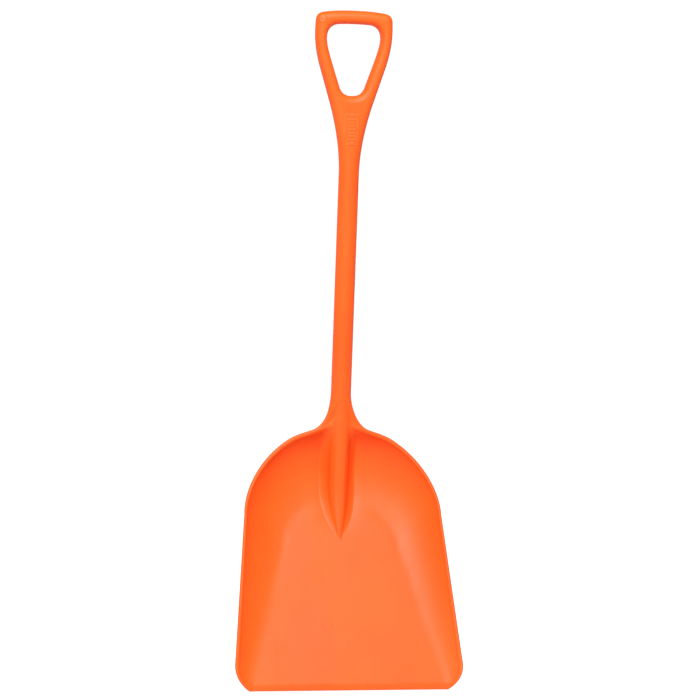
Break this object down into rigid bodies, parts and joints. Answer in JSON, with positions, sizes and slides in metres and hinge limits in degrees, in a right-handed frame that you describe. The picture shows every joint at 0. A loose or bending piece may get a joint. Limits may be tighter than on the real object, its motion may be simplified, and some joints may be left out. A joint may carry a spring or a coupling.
{
  "type": "scoop shovel",
  "caption": "One-piece moulded scoop shovel: D-grip, round shaft and wide dished blade for lifting and carrying loose material.",
  "frame": {"origin": "middle of the underside of the grip's crossbar, where the shovel hangs from a hook", "axes": "+Z along the shaft towards the grip, -Y out of the open side of the scoop, +X to the right seen from the open side"},
  "size_m": [0.3586, 0.1683, 1.0415],
  "materials": {
    "orange_polypropylene": "satin, injection moulded"
  },
  "bodies": {
    "root": {"grip_crossbar": "orange_polypropylene", "grip_arm_right": "orange_polypropylene", "grip_arm_left": "orange_polypropylene", "grip_yoke": "orange_polypropylene", "shaft": "orange_polypropylene", "neck": "orange_polypropylene", "spine": "orange_polypropylene", "blade_heel": "orange_polypropylene", "blade_floor": "orange_polypropylene", "blade_wall_right": "orange_polypropylene", "blade_wall_left": "orange_polypropylene"}
  },
  "joints": []
}
